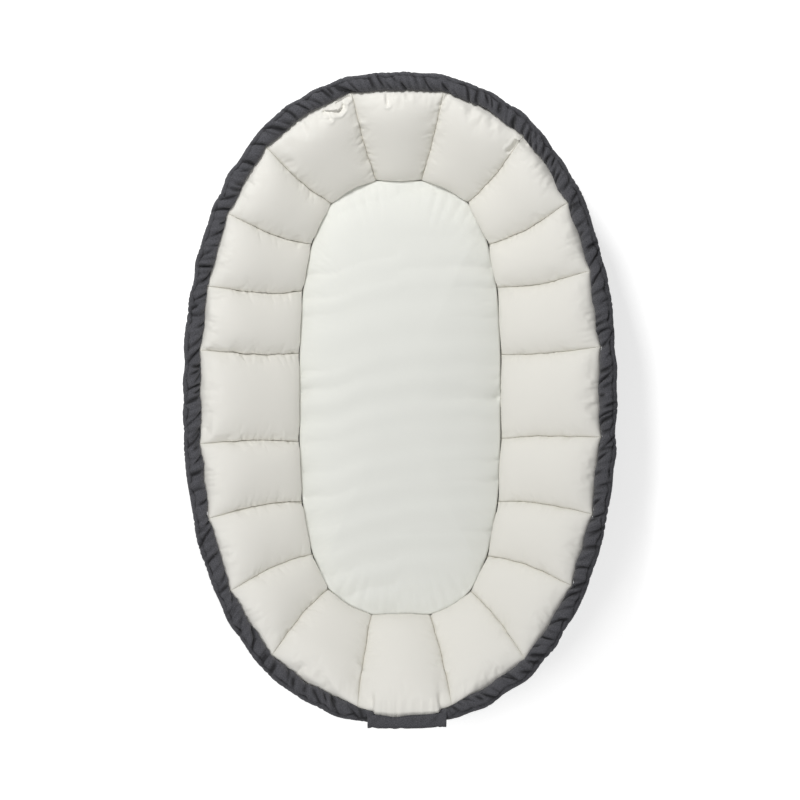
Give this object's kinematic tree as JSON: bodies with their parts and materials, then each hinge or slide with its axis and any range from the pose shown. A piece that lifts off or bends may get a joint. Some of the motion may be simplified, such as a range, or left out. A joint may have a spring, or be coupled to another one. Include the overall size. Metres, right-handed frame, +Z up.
{
  "type": "infant lounger",
  "caption": "Oval padded nest for a baby, with a lift-out mattress, a stuffed wall in sewn chambers and a gathered dark rim closed by a drawstring under a foot flap.",
  "frame": {"origin": "on the floor, under the middle of the rim's oval", "axes": "+Z up, +Y along the nest from the foot end with its flap to the head end, +X to the right seen from above with the head end up"},
  "size_m": [0.5932, 0.8985, 0.1236],
  "materials": {
    "lining": "fine off-white cotton with a slight sheen",
    "charcoal": "heathered charcoal cotton",
    "fill": "loose plant fibre filling",
    "cord": "braided cord",
    "plastic": "matt moulded plastic",
    "steel": "spring wire"
  },
  "bodies": {
    "nest": {"base_panel": "charcoal", "floor_wadding": "fill", "floor_lining": "lining", "outer_wall": "charcoal", "wall_fill_01": "fill", "wall_fill_02": "fill", "wall_fill_03": "fill", "wall_fill_04": "fill", "wall_fill_05": "fill", "wall_fill_06": "fill", "wall_fill_07": "fill", "wall_fill_08": "fill", "wall_fill_09": "fill", "wall_fill_10": "fill", "wall_fill_11": "fill", "wall_fill_12": "fill", "wall_fill_13": "fill", "wall_fill_14": "fill", "wall_fill_15": "fill", "wall_fill_16": "fill", "wall_fill_17": "fill", "wall_fill_18": "fill", "wall_fill_19": "fill", "wall_fill_20": "fill", "wall_lining": "lining", "rim_tunnel": "charcoal", "drawstring": "cord", "foot_binding": "lining", "cord_end_clip": "plastic"},
    "mattress": {"mattress_cover": "lining", "mattress_core": "fill"},
    "flap": {"foot_flap": "charcoal"},
    "cord_lock": {"cord_lock_body": "plastic", "cord_lock_spring": "steel"},
    "lock_button": {"cord_lock_button": "plastic"}
  },
  "joints": [
    {"name": "mattress_lift", "type": "slide", "parent": "nest", "child": "mattress", "axis": [0, 0, 1], "range_m": [0, 0.16]},
    {"name": "flap_fold", "type": "hinge", "parent": "nest", "child": "flap", "pos_m": [0.0095, -0.42629, 0.1206], "axis": [-1, 0, 0], "range_deg": [0, 115]},
    {"name": "lock_slide", "type": "slide", "parent": "nest", "child": "cord_lock", "axis": [0, 0, 1], "range_m": [-0.0075, 0.008]},
    {"name": "button_press", "type": "slide", "parent": "cord_lock", "child": "lock_button", "axis": [-1, 0, 0], "range_m": [0, 0.0025], "stiffness_N_per_m": 300, "springref_m": -0.002, "deforming": ["cord_lock_spring"]}
  ]
}
